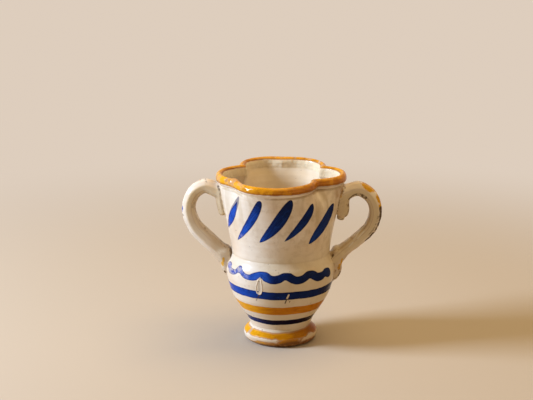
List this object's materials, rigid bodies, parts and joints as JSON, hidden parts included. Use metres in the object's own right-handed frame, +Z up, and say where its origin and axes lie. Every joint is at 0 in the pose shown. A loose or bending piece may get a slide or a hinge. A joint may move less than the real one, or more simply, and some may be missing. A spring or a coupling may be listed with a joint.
{
  "type": "two-handled jug",
  "caption": "Small footed jug in tin-glazed earthenware, with a flared collar, a mouth pinched into lobes under a rolled rim, and looped strap handles.",
  "frame": {"origin": "centre of the resting ring under the foot, on the jug's turning axis", "axes": "+Z up along the turning axis, +X towards the right handle, -Y towards the painted front"},
  "size_m": [0.1611, 0.1125, 0.1399],
  "materials": {
    "tin_glaze": "glossy off-white tin glaze with blue and ochre brushwork",
    "ochre_glaze": "glossy ochre colour brushed over the tin glaze"
  },
  "bodies": {
    "root": {"foot": "tin_glaze", "bowl": "tin_glaze", "neck": "tin_glaze", "lip": "ochre_glaze", "left_handle": "tin_glaze", "right_handle": "tin_glaze"}
  },
  "joints": []
}
